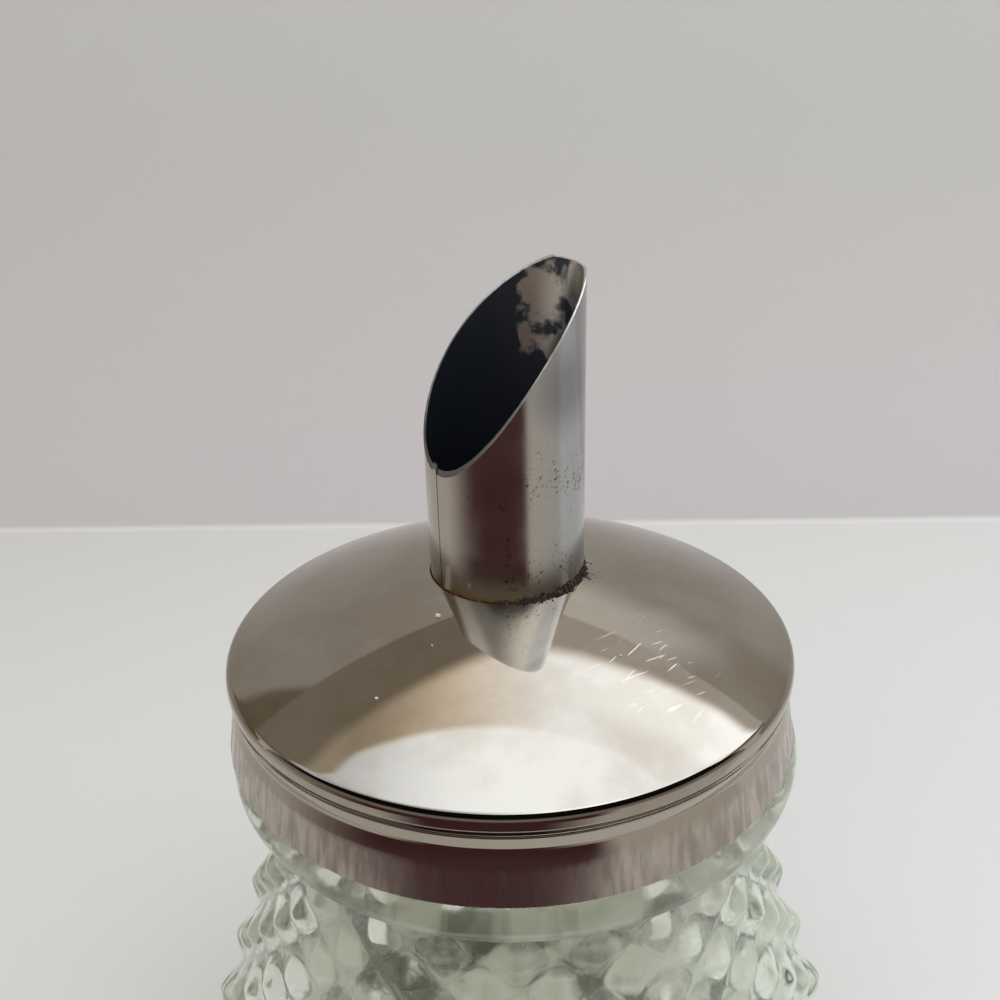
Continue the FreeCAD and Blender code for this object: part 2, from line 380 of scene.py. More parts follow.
def glazed(material, tint, inputs):
    """The material with a glass surface that has those inputs and a tint in
    depth. Lamps shine through it, so that its shadow stays pale."""
    tree = material.node_tree
    surface = add_node(tree, "ShaderNodeBsdfPrincipled", None, inputs)
    lamp_ray = add_node(tree, "ShaderNodeLightPath").outputs["Is Shadow Ray"]
    clear = add_node(tree, "ShaderNodeBsdfTransparent", None, {"Color": linear("#F6F8F2")})
    mix = add_node(tree, "ShaderNodeMixShader", None,
                   {0: lamp_ray, 1: surface.outputs["BSDF"], 2: clear.outputs["BSDF"]})
    depth = add_node(tree, "ShaderNodeVolumeAbsorption", None, {"Color": tint, "Density": 12.0})
    return finished(material, mix.outputs["Shader"], depth.outputs["Volume"])


def pressed_glass(sizes):
    """Soda-lime glass pressed in a mould: clear, faintly green in depth,
    with a skin that is slightly uneven where it chilled on the iron."""
    material, tree = new_material("pressed soda-lime glass")
    place = object_place(tree)
    skin = mottled(tree, place, 4 * MM, 2.0)
    bump = add_node(tree, "ShaderNodeBump", None, {"Height": skin, "Strength": 0.3, "Distance": 0.4 * MM})
    return glazed(material, sizes.tint, {
        "Base Color": linear("#F4F8F0"),
        "Roughness": 0.05,
        "IOR": GLASS_IOR,
        "Transmission Weight": 1.0,
        "Normal": bump.outputs["Normal"],
    })


def dusted_glass(sizes):
    """The inside of the same glass under a film of sugar dust, which blurs
    what is seen through it and turns it pale. Near the mouth the film is
    thicker as painted light: its pale share stands in for the light that
    the glass carries in under the lid."""
    material, tree = new_material("soda-lime glass with sugar dust")
    place = object_place(tree)
    clouds = mottled(tree, place, 6 * MM, 4.0)
    rough = between(tree, clouds, 0.0, 0.06)
    height = coordinates(tree, place)[2]
    # Painted light: above 74 mm less light passes, so the pale film near the mouth stands in for light the
    # glass carries in under the lid.
    painted_light_near_mouth = stepped(tree, height, 74 * MM, 80 * MM, 0.0, -0.2)
    clear = calculated(tree, "ADD", stepped(tree, clouds, 0.4, 0.6, 0.9, 0.15), painted_light_near_mouth)
    return glazed(material, sizes.tint, {
        "Base Color": sizes.dust,
        "Roughness": rough,
        "IOR": GLASS_IOR,
        "Transmission Weight": clear,
    })


def bright_steel(sizes, plane):
    """Drawn steel sheet with a bright plating that has browned: a mirror with
    faint clouds and a scratched patch on the dome, and a paler skirt that
    handling has smeared up and down."""
    material, tree = new_material("bright plated steel")
    place = object_place(tree)
    clouds = mottled(tree, place, 9 * MM, 5.0, 0.6)
    tarnish = stepped(tree, clouds, 0.4, 0.65)
    dome = blended(tree, tarnish, sizes.metal, sizes.tarnish)
    height = coordinates(tree, place)[2]
    on_dome = stepped(tree, height, plane - 2.0 * MM, plane - 1.0 * MM)
    streaked = add_node(tree, "ShaderNodeMapping", None, {"Vector": place, "Scale": (1.0, 1.0, 0.12)})
    streaks = mottled(tree, streaked.outputs["Vector"], 1.0 * MM, 3.0)
    handled = blended(tree, stepped(tree, streaks, 0.35, 0.65), sizes.skirt, sizes.handled)
    on_skirt = stepped(tree, height, plane - 4.5 * MM, plane - 7 * MM)
    side = blended(tree, on_skirt, sizes.bead, handled)
    tone = blended(tree, on_dome, side, dome)
    scratches = scratch_mask(tree, place, (15.5 * MM, -15.5 * MM, plane + 4.5 * MM), 9.5 * MM)
    bared = blended(tree, scratches, tone, linear("#D3CDC3"))
    smeared = between(tree, streaks, 0.0, 0.45)
    dulled = calculated(tree, "MULTIPLY", smeared, on_skirt)
    furrowed = calculated(tree, "MULTIPLY", scratches, 0.35)
    rough = calculated(tree, "ADD", calculated(tree, "ADD", dulled, furrowed), 0.05)
    return surfaced(material, {"Base Color": bared, "Metallic": 1.0, "Roughness": rough})


def scratch_mask(tree, place, middle, reach):
    """A few thin, short scratches around a point, 1 on a scratch."""
    near = stepped(tree, distance_to(tree, place, middle), reach, 0.2 * reach)
    lines = None
    for heading, width in ((52.0, 0.3 * MM), (34.0, 0.35 * MM)):
        turned = add_node(tree, "ShaderNodeMapping", {"vector_type": "TEXTURE"}, {
            "Vector": place, "Rotation": (0.0, 0.0, math.radians(heading)), "Scale": (12.0, 1.0, 12.0)})
        streaks = mottled(tree, turned.outputs["Vector"], width, 0.0)
        line = stepped(tree, streaks, 0.73, 0.79)
        lines = line if lines is None else calculated(tree, "MAXIMUM", lines, line)
    return calculated(tree, "MULTIPLY", lines, near)


def worn_steel(sizes, plane):
    """Rolled steel tube whose bright skin is worn: a soft mirror, bluish on
    the right, with small dark pits and yellow oxide where it meets the dome."""
    material, tree = new_material("worn bright steel")
    place = object_place(tree)
    across, _, height = coordinates(tree, place)
    clouds = mottled(tree, place, 4 * MM, 4.0)
    rough = between(tree, clouds, 0.08, 0.26)
    # The tube's right side takes the bluish grey tone.
    sides = blended(tree, stepped(tree, across, 0.0, 8 * MM), sizes.metal, sizes.right_side_tone)
    grained = calculated(tree, "MULTIPLY_ADD", clouds, -1.6 * MM, height)
    low = stepped(tree, grained, plane + 9.3 * MM, plane + 8.3 * MM)
    foot = blended(tree, low, sides, sizes.foot_stain)
    from_smudge = distance_to(tree, place, (6.3 * MM, -6.4 * MM, plane + 33 * MM))
    smudge = stepped(tree, from_smudge, 1 * MM, 6.5 * MM, 0.65, 0.0)
    foot = blended(tree, smudge, foot, linear("#6E6E72"))
    pits = pit_mask(tree, place, (5 * MM, -8 * MM, plane + 18 * MM))
    tone = blended(tree, pits, foot, linear("#453B35"))
    return surfaced(material, {"Base Color": tone, "Metallic": 1.0, "Roughness": rough})


def pit_mask(tree, place, middle):
    """Small ragged pits, crowded in patches around a point, 1 in a pit."""
    grit = mottled(tree, place, 0.5 * MM, 5.0, 0.75)
    patches = mottled(tree, place, 5 * MM, 1.0)
    near = stepped(tree, distance_to(tree, place, middle), 17 * MM, 5 * MM)
    crowd = calculated(tree, "MULTIPLY", patches, near)
    depth = calculated(tree, "MULTIPLY_ADD", crowd, 0.26, grit)
    return stepped(tree, depth, 0.7, 0.8)


def stained_steel(sizes, plane):
    """Inside of the tube, blackened by damp sugar, bare in patches near the
    tip of the scoop."""
    material, tree = new_material("stained steel")
    place = object_place(tree)
    across, _, height = coordinates(tree, place)
    clouds = mottled(tree, place, 3.4 * MM, 3.0)
    high = stepped(tree, height, plane + 26 * MM, plane + 35 * MM)
    right = stepped(tree, across, -3 * MM, 4 * MM)
    spared = between(tree, calculated(tree, "MULTIPLY", high, right), -0.3, 0.06)
    bare = stepped(tree, calculated(tree, "ADD", clouds, spared), 0.44, 0.58)
    tone = blended(tree, bare, sizes.stain, linear("#C6C0B6"))
    return surfaced(material, {
        "Base Color": tone,
        "Metallic": between(tree, bare, 0.55, 1.0),
        "Roughness": 0.25,
    })


def sheared_steel():
    """Edge of the sheet where it was sheared: bare, bright and finely torn."""
    material, tree = new_material("sheared steel edge")
    place = object_place(tree)
    torn = mottled(tree, place, 0.5 * MM, 2.0)
    bright = blended(tree, torn, linear("#ABA8A3"), linear("#F2F1EE"))
    across = coordinates(tree, place)[0]
    tone = blended(tree, stepped(tree, across, -7 * MM, 3 * MM), linear("#77736E"), bright)
    return surfaced(material, {"Base Color": tone, "Metallic": 1.0, "Roughness": 0.35})


def iron_rust(sizes):
    """Crumbly iron oxide: dull, nearly black, with orange-brown grains."""
    material, tree = new_material("iron rust")
    place = object_place(tree)
    grains = mottled(tree, place, 0.4 * MM, 3.0)
    fresh = stepped(tree, grains, 0.52, 0.72)
    tone = blended(tree, fresh, linear("#1C100A"), sizes.rust)
    return surfaced(material, {"Base Color": tone, "Roughness": 0.85})


def sugar_crystal():
    """Refined sugar: small clear crystals with flat faces that glint."""
    material, tree = new_material("crystal sugar")
    return surfaced(material, {
        "Base Color": linear("#FBF9F4"),
        "Roughness": 0.15,
        "IOR": 1.54,
        "Transmission Weight": 0.5,
    })


# ---- Jar -----------------------------------------------------------------

FINE_COLUMN = 8             # spans of mesh across half a diamond, each way
PLAIN_SPAN = 4.0 * MM       # longest span of mesh along a plain outline
COLLAR_DROP = 13.2 * MM     # lid plane down to the middle of the collar
SHOULDER_DROP = 6.4 * MM    # hem of the skirt down to the first diamonds
HEM_GAP = 0.35 * MM         # hem of the skirt down to the collar
LIP_ROUNDING = 1.3 * MM
MIDDLE_DISC = 1.0 * MM      # radius of the disc that closes an outline at the axis
SQUARENESS = 6.0            # how square a diamond's outline is: 2 would be an ellipse
POINT_SHAPE = 1.35          # 1 would be a straight-sided point
TIP_ROUNDING = 0.08         # share of a diamond's height lost at its tip


def crest_radius(sizes, shoulder, height):
    """Outside of the jar over the tips of the diamonds."""
    drop = sizes.belly_radius - sizes.neck_radius
    if height >= sizes.belly_height:
        way = (shoulder - height) / (shoulder - sizes.belly_height)
        return sizes.neck_radius + drop * math.sin(0.5 * math.pi * way) ** 2
    way = (sizes.belly_height - height) / sizes.belly_height
    return sizes.belly_radius - (sizes.belly_radius - sizes.foot_radius) * way ** 2


def diamond_rows(sizes, shoulder):
    """Heights of the half rows of diamonds, from the shoulder to the foot."""
    heights = [shoulder]
    while True:
        step = sizes.row_share * crest_radius(sizes, shoulder, heights[-1])
        if heights[-1] - step < sizes.foot_plain:
            return heights
        heights.append(heights[-1] - step)


def diamond_height(column, row, last_row):
    """Relief from 0 in a groove to 1 on a tip: a four-sided point whose edges,
    tip and groove are rounded as pressing leaves them."""
    along = 0.5 * (column + row + 1.0)
    across = 0.5 * (row - column + 1.0)
    tip_row = round(along) + round(across) - 1.0
    da = 2.0 * abs(along - round(along))
    db = 2.0 * abs(across - round(across))
    away = (da ** SQUARENESS + db ** SQUARENESS) ** (1.0 / SQUARENESS)
    relief = 0.0
    if tip_row > 0.5 and away < 1.0:
        relief = 1.0 - away ** POINT_SHAPE
        relief = math.sqrt(relief ** 2 + TIP_ROUNDING ** 2) - TIP_ROUNDING
    into_foot = max(0.0, row - last_row + 1.0)
    return relief + (1.0 - relief) * into_foot ** 2


def jar_profile_top(sizes, plane, skirt_bottom, lip_top):
    """Outline of the finish and the collar, from the lip down to the neck."""
    middle = (sizes.finish_radius - LIP_ROUNDING, lip_top - LIP_ROUNDING)
    lip = arc_points(middle, LIP_ROUNDING, 90.0, 0.0, 8)
    collar_middle = plane - COLLAR_DROP
    top = math.degrees(math.asin((skirt_bottom - collar_middle) / sizes.collar_height))
    bulge = sizes.collar_radius - sizes.neck_radius
    collar = []
    for point in arc_points((0.0, 0.0), 1.0, top, -90.0, 22):
        collar.append(Vector((sizes.neck_radius + bulge * point.x,
                              collar_middle + sizes.collar_height * point.y)))
    return lip + [Vector((sizes.finish_radius, skirt_bottom))] + collar


def build_jar(settings):
    """Pressed glass jar with rounded diamonds outside and a smooth inside."""
    sizes = settings.jar
    plane = lid_plane(settings)
    shoulder = plane - settings.lid.skirt_height - SHOULDER_DROP
    lip_top = JAR_TOP
    skirt_bottom = LID_LOW.z - HEM_GAP
    count = 2 * sizes.columns * FINE_COLUMN
    bm = bmesh.new()
    rings = []
    for point in subdivided(jar_profile_top(sizes, plane, skirt_bottom, lip_top), 0.5 * PLAIN_SPAN):
        rings.append(ring_of(bm, [point.x] * count, point.y))
    relief_start = len(rings) - 1
    heights = diamond_rows(sizes, shoulder)
    last_row = len(heights) - 1
    for row in range(last_row):
        for part in range(FINE_COLUMN):
            place = row + part / FINE_COLUMN
            height = heights[row] + (heights[row + 1] - heights[row]) * part / FINE_COLUMN
            rings.append(diamond_ring(bm, sizes, shoulder, height, place, last_row, count))
    rings.append(diamond_ring(bm, sizes, shoulder, heights[-1], last_row, last_row, count))
    relief_end = len(rings) - 1
    for point in jar_profile_base(sizes):
        rings.append(ring_of(bm, [point.x] * count, point.y))
    inner_rings = []
    for point in jar_profile_inside(sizes, shoulder, lip_top):
        inner_rings.append(ring_of(bm, [point.x] * count, point.y))

    def slants_back(row, index):
        """Which way a span is cut, so that its cut runs along the groove."""
        if not relief_start < row < relief_end:
            return None
        block = (row - relief_start - 1) // FINE_COLUMN + index // FINE_COLUMN
        return block % 2 == 1

    join_rings(bm, rings, False, slants_back)
    inside_faces = join_rings(bm, inner_rings + [rings[0]])
    bm.faces.new(rings[-1])
    inside_faces.append(bm.faces.new(inner_rings[0]))
    for face in inside_faces:
        face.material_index = 1
    materials = [pressed_glass(sizes), dusted_glass(sizes)]
    piece = mesh_piece("glass_jar", bm, materials)
    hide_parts("jar")


def diamond_ring(bm, sizes, shoulder, height, row, last_row, count):
    """A ring of vertices through the diamonds."""
    crest = crest_radius(sizes, shoulder, height)
    radii = []
    for index in range(count):
        relief = diamond_height(index / FINE_COLUMN, row, last_row)
        radii.append(crest * (1.0 - sizes.relief_share * (1.0 - relief)))
    return ring_of(bm, radii, height)


def jar_profile_base(sizes):
    """Outline under the jar, from the foot band to the middle of the base."""
    heel, ring_width, recess = 1.5 * MM, 5.0 * MM, 1.4 * MM
    inner = sizes.foot_radius - heel - ring_width
    corners = [
        (sizes.foot_radius, 3.0 * MM),
        (sizes.foot_radius, 0.0),
        (inner, 0.0),
        (inner - recess, recess),
        (MIDDLE_DISC, recess),
    ]
    return subdivided(bent_line(corners, [heel, 0.8 * MM, 0.8 * MM]), PLAIN_SPAN)


def jar_profile_inside(sizes, shoulder, lip_top):
    """Outline of the inside, from the middle of the floor up to the lip."""
    floor = sizes.floor_thickness
    points = []
    depth = shoulder - floor - sizes.floor_corner
    steps = 30
    for step in range(steps + 1):
        height = shoulder - depth * step / steps
        groove = crest_radius(sizes, shoulder, height) * (1.0 - sizes.relief_share)
        points.append(Vector((max(sizes.mouth_radius, groove - sizes.wall), height)))
    corner = (points[-1].x - sizes.floor_corner, floor + sizes.floor_corner)
    points += arc_points(corner, sizes.floor_corner, 0.0, -90.0, 10)[1:]
    points.append(Vector((MIDDLE_DISC, floor)))
    middle = (sizes.mouth_radius + LIP_ROUNDING, lip_top - LIP_ROUNDING)
    mouth = arc_points(middle, LIP_ROUNDING, 90.0, 180.0, 8)
    return subdivided(points[::-1] + mouth[::-1], PLAIN_SPAN)


class DISPENSER_OT_jar(bpy.types.Operator):
    """Builds the glass jar"""
    bl_idname = "dispenser.jar"
    bl_label = "Glass jar"

    def execute(self, context):
        build_jar(context.scene.dispenser)
        return {"FINISHED"}


# ---- Lid -----------------------------------------------------------------

LID_SPANS = 360             # spans of mesh around the lid
LID_SPAN = 0.8 * MM         # longest span of mesh along its outline
TOP_SLOPE = 12.0            # degrees, of the dome at the hole
EDGE_SLOPE = 26.0           # degrees, of the dome at its widest edge
WAIST = 0.75 * MM           # in from the lid's radius, under the rolled edge
GROOVE_DROP = 4.3 * MM      # lid plane down to the groove
HEAD_INSET = 0.15 * MM      # in from the lid's radius, at the head of the skirt
HEAD_DROP = 5.9 * MM        # lid plane down to the head of the skirt
FLARE = 0.6 * MM            # hem out past the lid's radius


def dome_bend(sizes, hole, edge):
    """Crest where the dome's two slopes meet, and the radius of its bend."""
    crest = meeting(hole, -TOP_SLOPE, edge, 180.0 - EDGE_SLOPE)
    reach = min((hole - crest).length, (edge - crest).length) - sizes.sheet
    return crest, reach / math.tan(math.radians(0.5 * (EDGE_SLOPE - TOP_SLOPE)))


def lid_outline(sizes, plane):
    """Outside of the lid from the hole to the hem."""
    rim = sizes.radius
    hole = Vector((sizes.hole_radius, plane + sizes.dome_rise))
    edge = Vector((rim, plane))
    crest, bend = dome_bend(sizes, hole, edge)
    corners = [
        hole,
        crest,
        edge,
        (rim, plane - 1.8 * MM),
        (rim - WAIST, plane - 2.0 * MM),
        (rim - 0.1 * MM, plane - 2.3 * MM),
        (rim - 0.7 * MM, plane - GROOVE_DROP),
        (rim - HEAD_INSET, plane - HEAD_DROP),
        (rim + FLARE, plane - sizes.skirt_height),
    ]
    radii = [bend, 1.3 * MM, 0.6 * MM, 0.1 * MM, 0.3 * MM, 1.0 * MM, 1.5 * MM]
    return subdivided(bent_line(corners, radii), LID_SPAN)


def lid_inside(sizes, plane):
    """Inside of the lid from the hole to the hem, plain behind the bead."""
    bore = sizes.radius - WAIST - sizes.sheet
    top_slope, edge_slope = math.radians(TOP_SLOPE), math.radians(EDGE_SLOPE)
    hole = Vector((sizes.hole_radius, plane + sizes.dome_rise - sizes.sheet / math.cos(top_slope)))
    edge_rise = (sizes.radius - bore) * math.tan(edge_slope) - sizes.sheet / math.cos(edge_slope)
    edge = Vector((bore, plane + edge_rise))
    crest, bend = dome_bend(sizes, hole, edge)
    corners = [
        hole,
        crest,
        edge,
        (bore, plane - GROOVE_DROP),
        (sizes.radius - HEAD_INSET - sizes.sheet, plane - HEAD_DROP),
        (sizes.radius + FLARE - sizes.sheet, plane - sizes.skirt_height),
    ]
    return subdivided(bent_line(corners, [bend, 0.8 * MM, 1.0 * MM, 1.5 * MM]), LID_SPAN)


def dome_height(sizes, plane, radius):
    """Height of the dome's outside at a radius."""
    points = lid_outline(sizes, plane)
    for start, end in zip(points, points[1:]):
        if start.x <= radius <= end.x:
            return start.y + (end.y - start.y) * (radius - start.x) / (end.x - start.x)
    return points[0].y


def build_lid(settings):
    """Domed lid of one sheet, with its slightly uneven dome."""
    sizes = settings.lid
    plane = lid_plane(settings)
    outer = lid_outline(sizes, plane)
    inner = lid_inside(sizes, plane)
    bm = bmesh.new()
    rings = []
    for point in outer + inner[::-1]:
        ring = ring_of(bm, [point.x] * LID_SPANS, point.y)
        fade = min(1.0, max(0.0, (sizes.radius - point.x) / (4.0 * MM)))
        for vertex in ring:
            wave = noise.noise(Vector((vertex.co.x, vertex.co.y, 0.0)) / (16.0 * MM))
            vertex.co.z += sizes.unevenness * wave * fade
        rings.append(ring)
    join_rings(bm, rings, True)
    piece = mesh_piece("domed_lid", bm, [bright_steel(sizes, plane)])
    piece.data.transform(Matrix.Translation((-sizes.offset, 0.0, 0.0)))
    piece.data.set_sharp_from_angle(angle=math.radians(50.0))
    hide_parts("lid")


class DISPENSER_OT_lid(bpy.types.Operator):
    """Builds the domed lid"""
    bl_idname = "dispenser.lid"
    bl_label = "Domed lid"

    def execute(self, context):
        build_lid(context.scene.dispenser)
        return {"FINISHED"}


# ---- Spout ---------------------------------------------------------------

SPOUT_SPANS = 300           # spans of mesh around the tube
SPOUT_ROWS = 60             # and up one side of its sheet
SHEARED_BEVEL = 0.1 * MM    # at the rim, where the sheet was sheared
SCOOP_HEIGHTS = (23.4 * MM, 36.5 * MM, 44.6 * MM)     # low side, middle and tip, over the lid plane


def scoop_height(sizes, plane, x, y):
    """Height of the scoop's cut over a point of the tube."""
    low, middle, high = SCOOP_HEIGHTS
    r = sizes.radius
    # Circle through (-r, low), (0, middle) and (r, high).
    chord = (low ** 2 - high ** 2) / (4.0 * r)
    slope = (low - high) / (2.0 * r)
    centre_z = (middle ** 2 - 0.5 * (low ** 2 + high ** 2) - r * r) / (2.0 * middle - low - high)
    centre_s = slope * centre_z - chord
    radius = math.hypot(centre_s, middle - centre_z)
    along = x * math.cos(sizes.scoop_azimuth) + y * math.sin(sizes.scoop_azimuth)
    across = x * math.sin(sizes.scoop_azimuth) - y * math.cos(sizes.scoop_azimuth)
    arch = centre_z + math.sqrt(radius ** 2 - (along - centre_s) ** 2)
    return min(plane + arch + across * math.tan(sizes.cross_slope), SPOUT_HIGH.z)


def build_spout(settings):
    """Rolled tube with its open seam, scoop and slanted lower end."""
    sizes = settings.spout
    plane = lid_plane(settings)
    bm = bmesh.new()
    half_gap = 0.5 * sizes.seam_gap / sizes.radius
    inner_radius = sizes.radius - sizes.wall
    slope = math.tan(sizes.foot_slope)
    fine_torn, coarse_torn, most_ragged = 0.04 * MM, 0.16 * MM, math.radians(-170.0)
    burr, burr_start = 0.35 * MM, math.radians(356.0)
    strips = []
    for index in range(SPOUT_SPANS + 1):
        way = index / SPOUT_SPANS
        angle = sizes.seam_azimuth + half_gap + (2.0 * math.pi - 2.0 * half_gap) * way
        direction = Vector((math.cos(angle), math.sin(angle), 0.0))
        torn = fine_torn * noise.noise(direction * sizes.radius / (0.7 * MM))
        ragged = max(0.0, math.cos(angle - most_ragged)) ** 6
        torn += coarse_torn * ragged * noise.noise(direction * sizes.radius / (0.35 * MM))
        if (angle - sizes.seam_azimuth) % (2.0 * math.pi) > burr_start:
            torn += burr
        strip = []
        for radius, upward in ((sizes.radius, True), (inner_radius, False)):
            x, y = direction.x * radius, direction.y * radius
            top = scoop_height(sizes, plane, x, y) + torn
            bottom = SPOUT_LOW.z + (x + sizes.radius) * slope
            inset = -SHEARED_BEVEL if upward else SHEARED_BEVEL
            wall = []
            for row in range(SPOUT_ROWS + 1):
                height = bottom + (top - SHEARED_BEVEL - bottom) * row / SPOUT_ROWS
                wall.append(bm.verts.new((x, y, height)))
            rim = direction * (radius + inset)
            wall.append(bm.verts.new((rim.x, rim.y, top)))
            strip += wall if upward else wall[::-1]
        strips.append(strip)
    inside_material, edge_material = 1, 2
    count = len(strips[0])
    for left, right in zip(strips, strips[1:]):
        for index in range(count):
            after = (index + 1) % count
            face = bm.faces.new([left[index], right[index], right[after], left[after]])
            if SPOUT_ROWS <= index <= SPOUT_ROWS + 2 or index == count - 1:
                face.material_index = edge_material
            elif index > SPOUT_ROWS + 2:
                face.material_index = inside_material
    for strip in (strips[0], strips[-1]):
        face = bm.faces.new(strip)
        face.material_index = edge_material
    materials = [worn_steel(sizes, plane), stained_steel(sizes, plane), sheared_steel()]
    piece = mesh_piece("spout_tube", bm, materials)
    piece.data.transform(Matrix.Translation((-settings.lid.offset, 0.0, 0.0)))
    piece.data.set_sharp_from_angle(angle=math.radians(35.0))
    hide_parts("spout")


class DISPENSER_OT_spout(bpy.types.Operator):
    """Builds the spout"""
    bl_idname = "dispenser.spout"
    bl_label = "Spout"

    def execute(self, context):
        build_spout(context.scene.dispenser)
        return {"FINISHED"}


# ---- Rust, painted crevice shade and sugar grains ------------------------

CRUST_SPANS = 720           # spans of mesh around the crust
# Corners of the crust's section: out from the tube and up from the hole's edge,
# as shares of its thickness.
CRUST_SECTION = ((0.02, 1.3), (0.25, 1.0), (0.5, 0.5), (0.8, 0.05), (0.7, -0.5), (0.02, -0.5))
# Crumbs: how many, their azimuth and its spread in degrees, the distance from
# the tube and its spread, and the smallest and largest size, in mm.
CRUMBS = ((150, -38.0, math.degrees(0.42), 0.05, 0.3, 0.08, 0.3),
          (130, -17.0, math.degrees(0.07), 0.5, 0.7, 0.05, 0.17))
# Grains of sugar: where each lies, to the right and back, and its size, in mm.
GRAINS = ((-7.8, -10.2, 0.5), (-13.9, -20.2, 0.3), (-8.3, -14.5, 0.17), (11.9, -15.8, 0.2))


def add_lump(bm, rng, place, size, flat):
    """A small uneven lump of that size around a point."""
    made = bmesh.ops.create_icosphere(bm, subdivisions=2, radius=0.5 * size)
    stretch = Vector((rng.uniform(0.8, 1.5), rng.uniform(0.6, 1.0), flat))
    spin = Matrix.Rotation(rng.uniform(0.0, math.pi), 3, "Z")
    for vertex in made["verts"]:
        bump = 1.0 + 0.5 * noise.noise(vertex.co / (0.3 * size) + Vector(place) / MM)
        vertex.co = spin @ (vertex.co * stretch * bump) + Vector(place)


def build_rust_and_crevice_shade(settings):
    """Crust in the joint of spout and dome, thickest in front on the right,
    with crumbs around it and a splash of finer ones further right. All
    around the joint it is at least a thin, nearly black ring, partly
    tarnish and partly painted shade in the crevice between tube and dome."""
    lid, spout = settings.lid, settings.spout
    plane = lid_plane(settings)
    rng = random.Random(11)
    bm = bmesh.new()
    thickest = math.radians(-38.0)
    top = dome_height(lid, plane, lid.hole_radius)
    dome_slope = math.tan(math.radians(TOP_SLOPE))
    sections = []
    for step in range(CRUST_SPANS):
        angle = 2.0 * math.pi * step / CRUST_SPANS
        direction = Vector((math.cos(angle), math.sin(angle), 0.0))
        facing = max(0.0, math.cos(angle - thickest))
        foot = direction * spout.radius
        lumps = noise.noise(foot / (0.8 * MM)) + noise.noise(foot / (0.25 * MM))
        # Painted shade: at least 0.12 mm all around, a thin nearly black ring that is partly tarnish and
        # partly stands in for the shade in the crevice between tube and dome.
        size = (0.12 + 0.45 * facing ** 3) * (1.0 + 0.7 * lumps) * MM
        section = []
        for out, up in CRUST_SECTION:
            radius = spout.radius + out * size
            height = top + up * size - dome_slope * out * size
            section.append(bm.verts.new((direction.x * radius, direction.y * radius, height)))
        sections.append(section)
    join_rings(bm, sections, True)
    for count, middle, spread, start, reach, smallest, largest in CRUMBS:
        for _ in range(count):
            angle = rng.gauss(math.radians(middle), math.radians(spread))
            radius = spout.radius + abs(rng.gauss(start, reach)) * MM
            height = dome_height(lid, plane, radius)
            if radius < spout.radius + 0.2 * MM:
                height += abs(rng.gauss(0.2, 0.35)) * MM
            place = (radius * math.cos(angle), radius * math.sin(angle), height)
            add_lump(bm, rng, place, rng.uniform(smallest, largest) * MM, 0.5)
    piece = mesh_piece("rust_crust_and_crevice_shade", bm, [iron_rust(spout)])
    piece.data.transform(Matrix.Translation((-lid.offset, 0.0, 0.0)))


class DISPENSER_OT_rust_and_shade(bpy.types.Operator):
    """Builds the rust and the painted crevice shade around the spout's foot"""
    bl_idname = "dispenser.rust"
    bl_label = "Rust crust and crevice shade"

    def execute(self, context):
        build_rust_and_crevice_shade(context.scene.dispenser)
        return {"FINISHED"}


def build_grains(settings):
    """A few spilt grains of sugar on the front of the dome."""
    lid = settings.lid
    plane = lid_plane(settings)
    rng = random.Random(5)
    bm = bmesh.new()
    for x, y, size in GRAINS:
        height = dome_height(lid, plane, math.hypot(x, y) * MM) + 0.3 * size * MM
        lean = (rng.uniform(-0.2, 0.2), rng.uniform(-0.2, 0.2), rng.uniform(0.0, 3.0))
        spin = Euler(lean).to_matrix().to_4x4()
        scale = Matrix.Diagonal((size * MM, 0.8 * size * MM, 0.7 * size * MM, 1.0))
        place = Matrix.Translation((x * MM, y * MM, height))
        made = bmesh.ops.create_cube(bm, size=1.0, matrix=place @ spin @ scale)
        edges = {edge for vertex in made["verts"] for edge in vertex.link_edges}
        bmesh.ops.bevel(bm, geom=list(edges), offset=0.12 * size * MM, segments=1, affect="EDGES")
    piece = mesh_piece("sugar_grains", bm, [sugar_crystal()])
    piece.data.transform(Matrix.Translation((-lid.offset, 0.0, 0.0)))
    piece.data.set_sharp_from_angle(angle=math.radians(20.0))


class DISPENSER_OT_grains(bpy.types.Operator):
    """Builds the spilt grains of sugar"""
    bl_idname = "dispenser.grains"
    bl_label = "Sugar grains"

    def execute(self, context):
        build_grains(context.scene.dispenser)
        return {"FINISHED"}


# ---- Stage ---------------------------------------------------------------

def sheet_through(name, rows, material):
    """A smooth sheet through rows of corners."""
    bm = bmesh.new()
    lines = [[bm.verts.new(corner) for corner in row] for row in rows]
    for lower, upper in zip(lines, lines[1:]):
        for index in range(len(lower) - 1):
            face = bm.faces.new([lower[index], lower[index + 1], upper[index + 1], upper[index]])
            face.smooth = True
    return linked_mesh(name, bm, [material])


def build_floor(settings):
    """Floor and backdrop with a small cove between them."""
    stage = settings.stage
    reach, cove = 1500 * MM, 2 * MM
    back = stage.wall_distance
    outline = [Vector((-reach, 0.0))]
    outline += arc_points((back - cove, cove), cove, -90.0, 0.0, 12)
    outline.append(Vector((back, stage.wall_height)))
    rows = [[(-reach, point.x, point.y), (reach, point.x, point.y)] for point in outline]
    floor = sheet_through("floor", rows, painted_board(stage, cove))
    floor.rotation_euler = Euler((0.0, 0.0, math.radians(-1.5)))


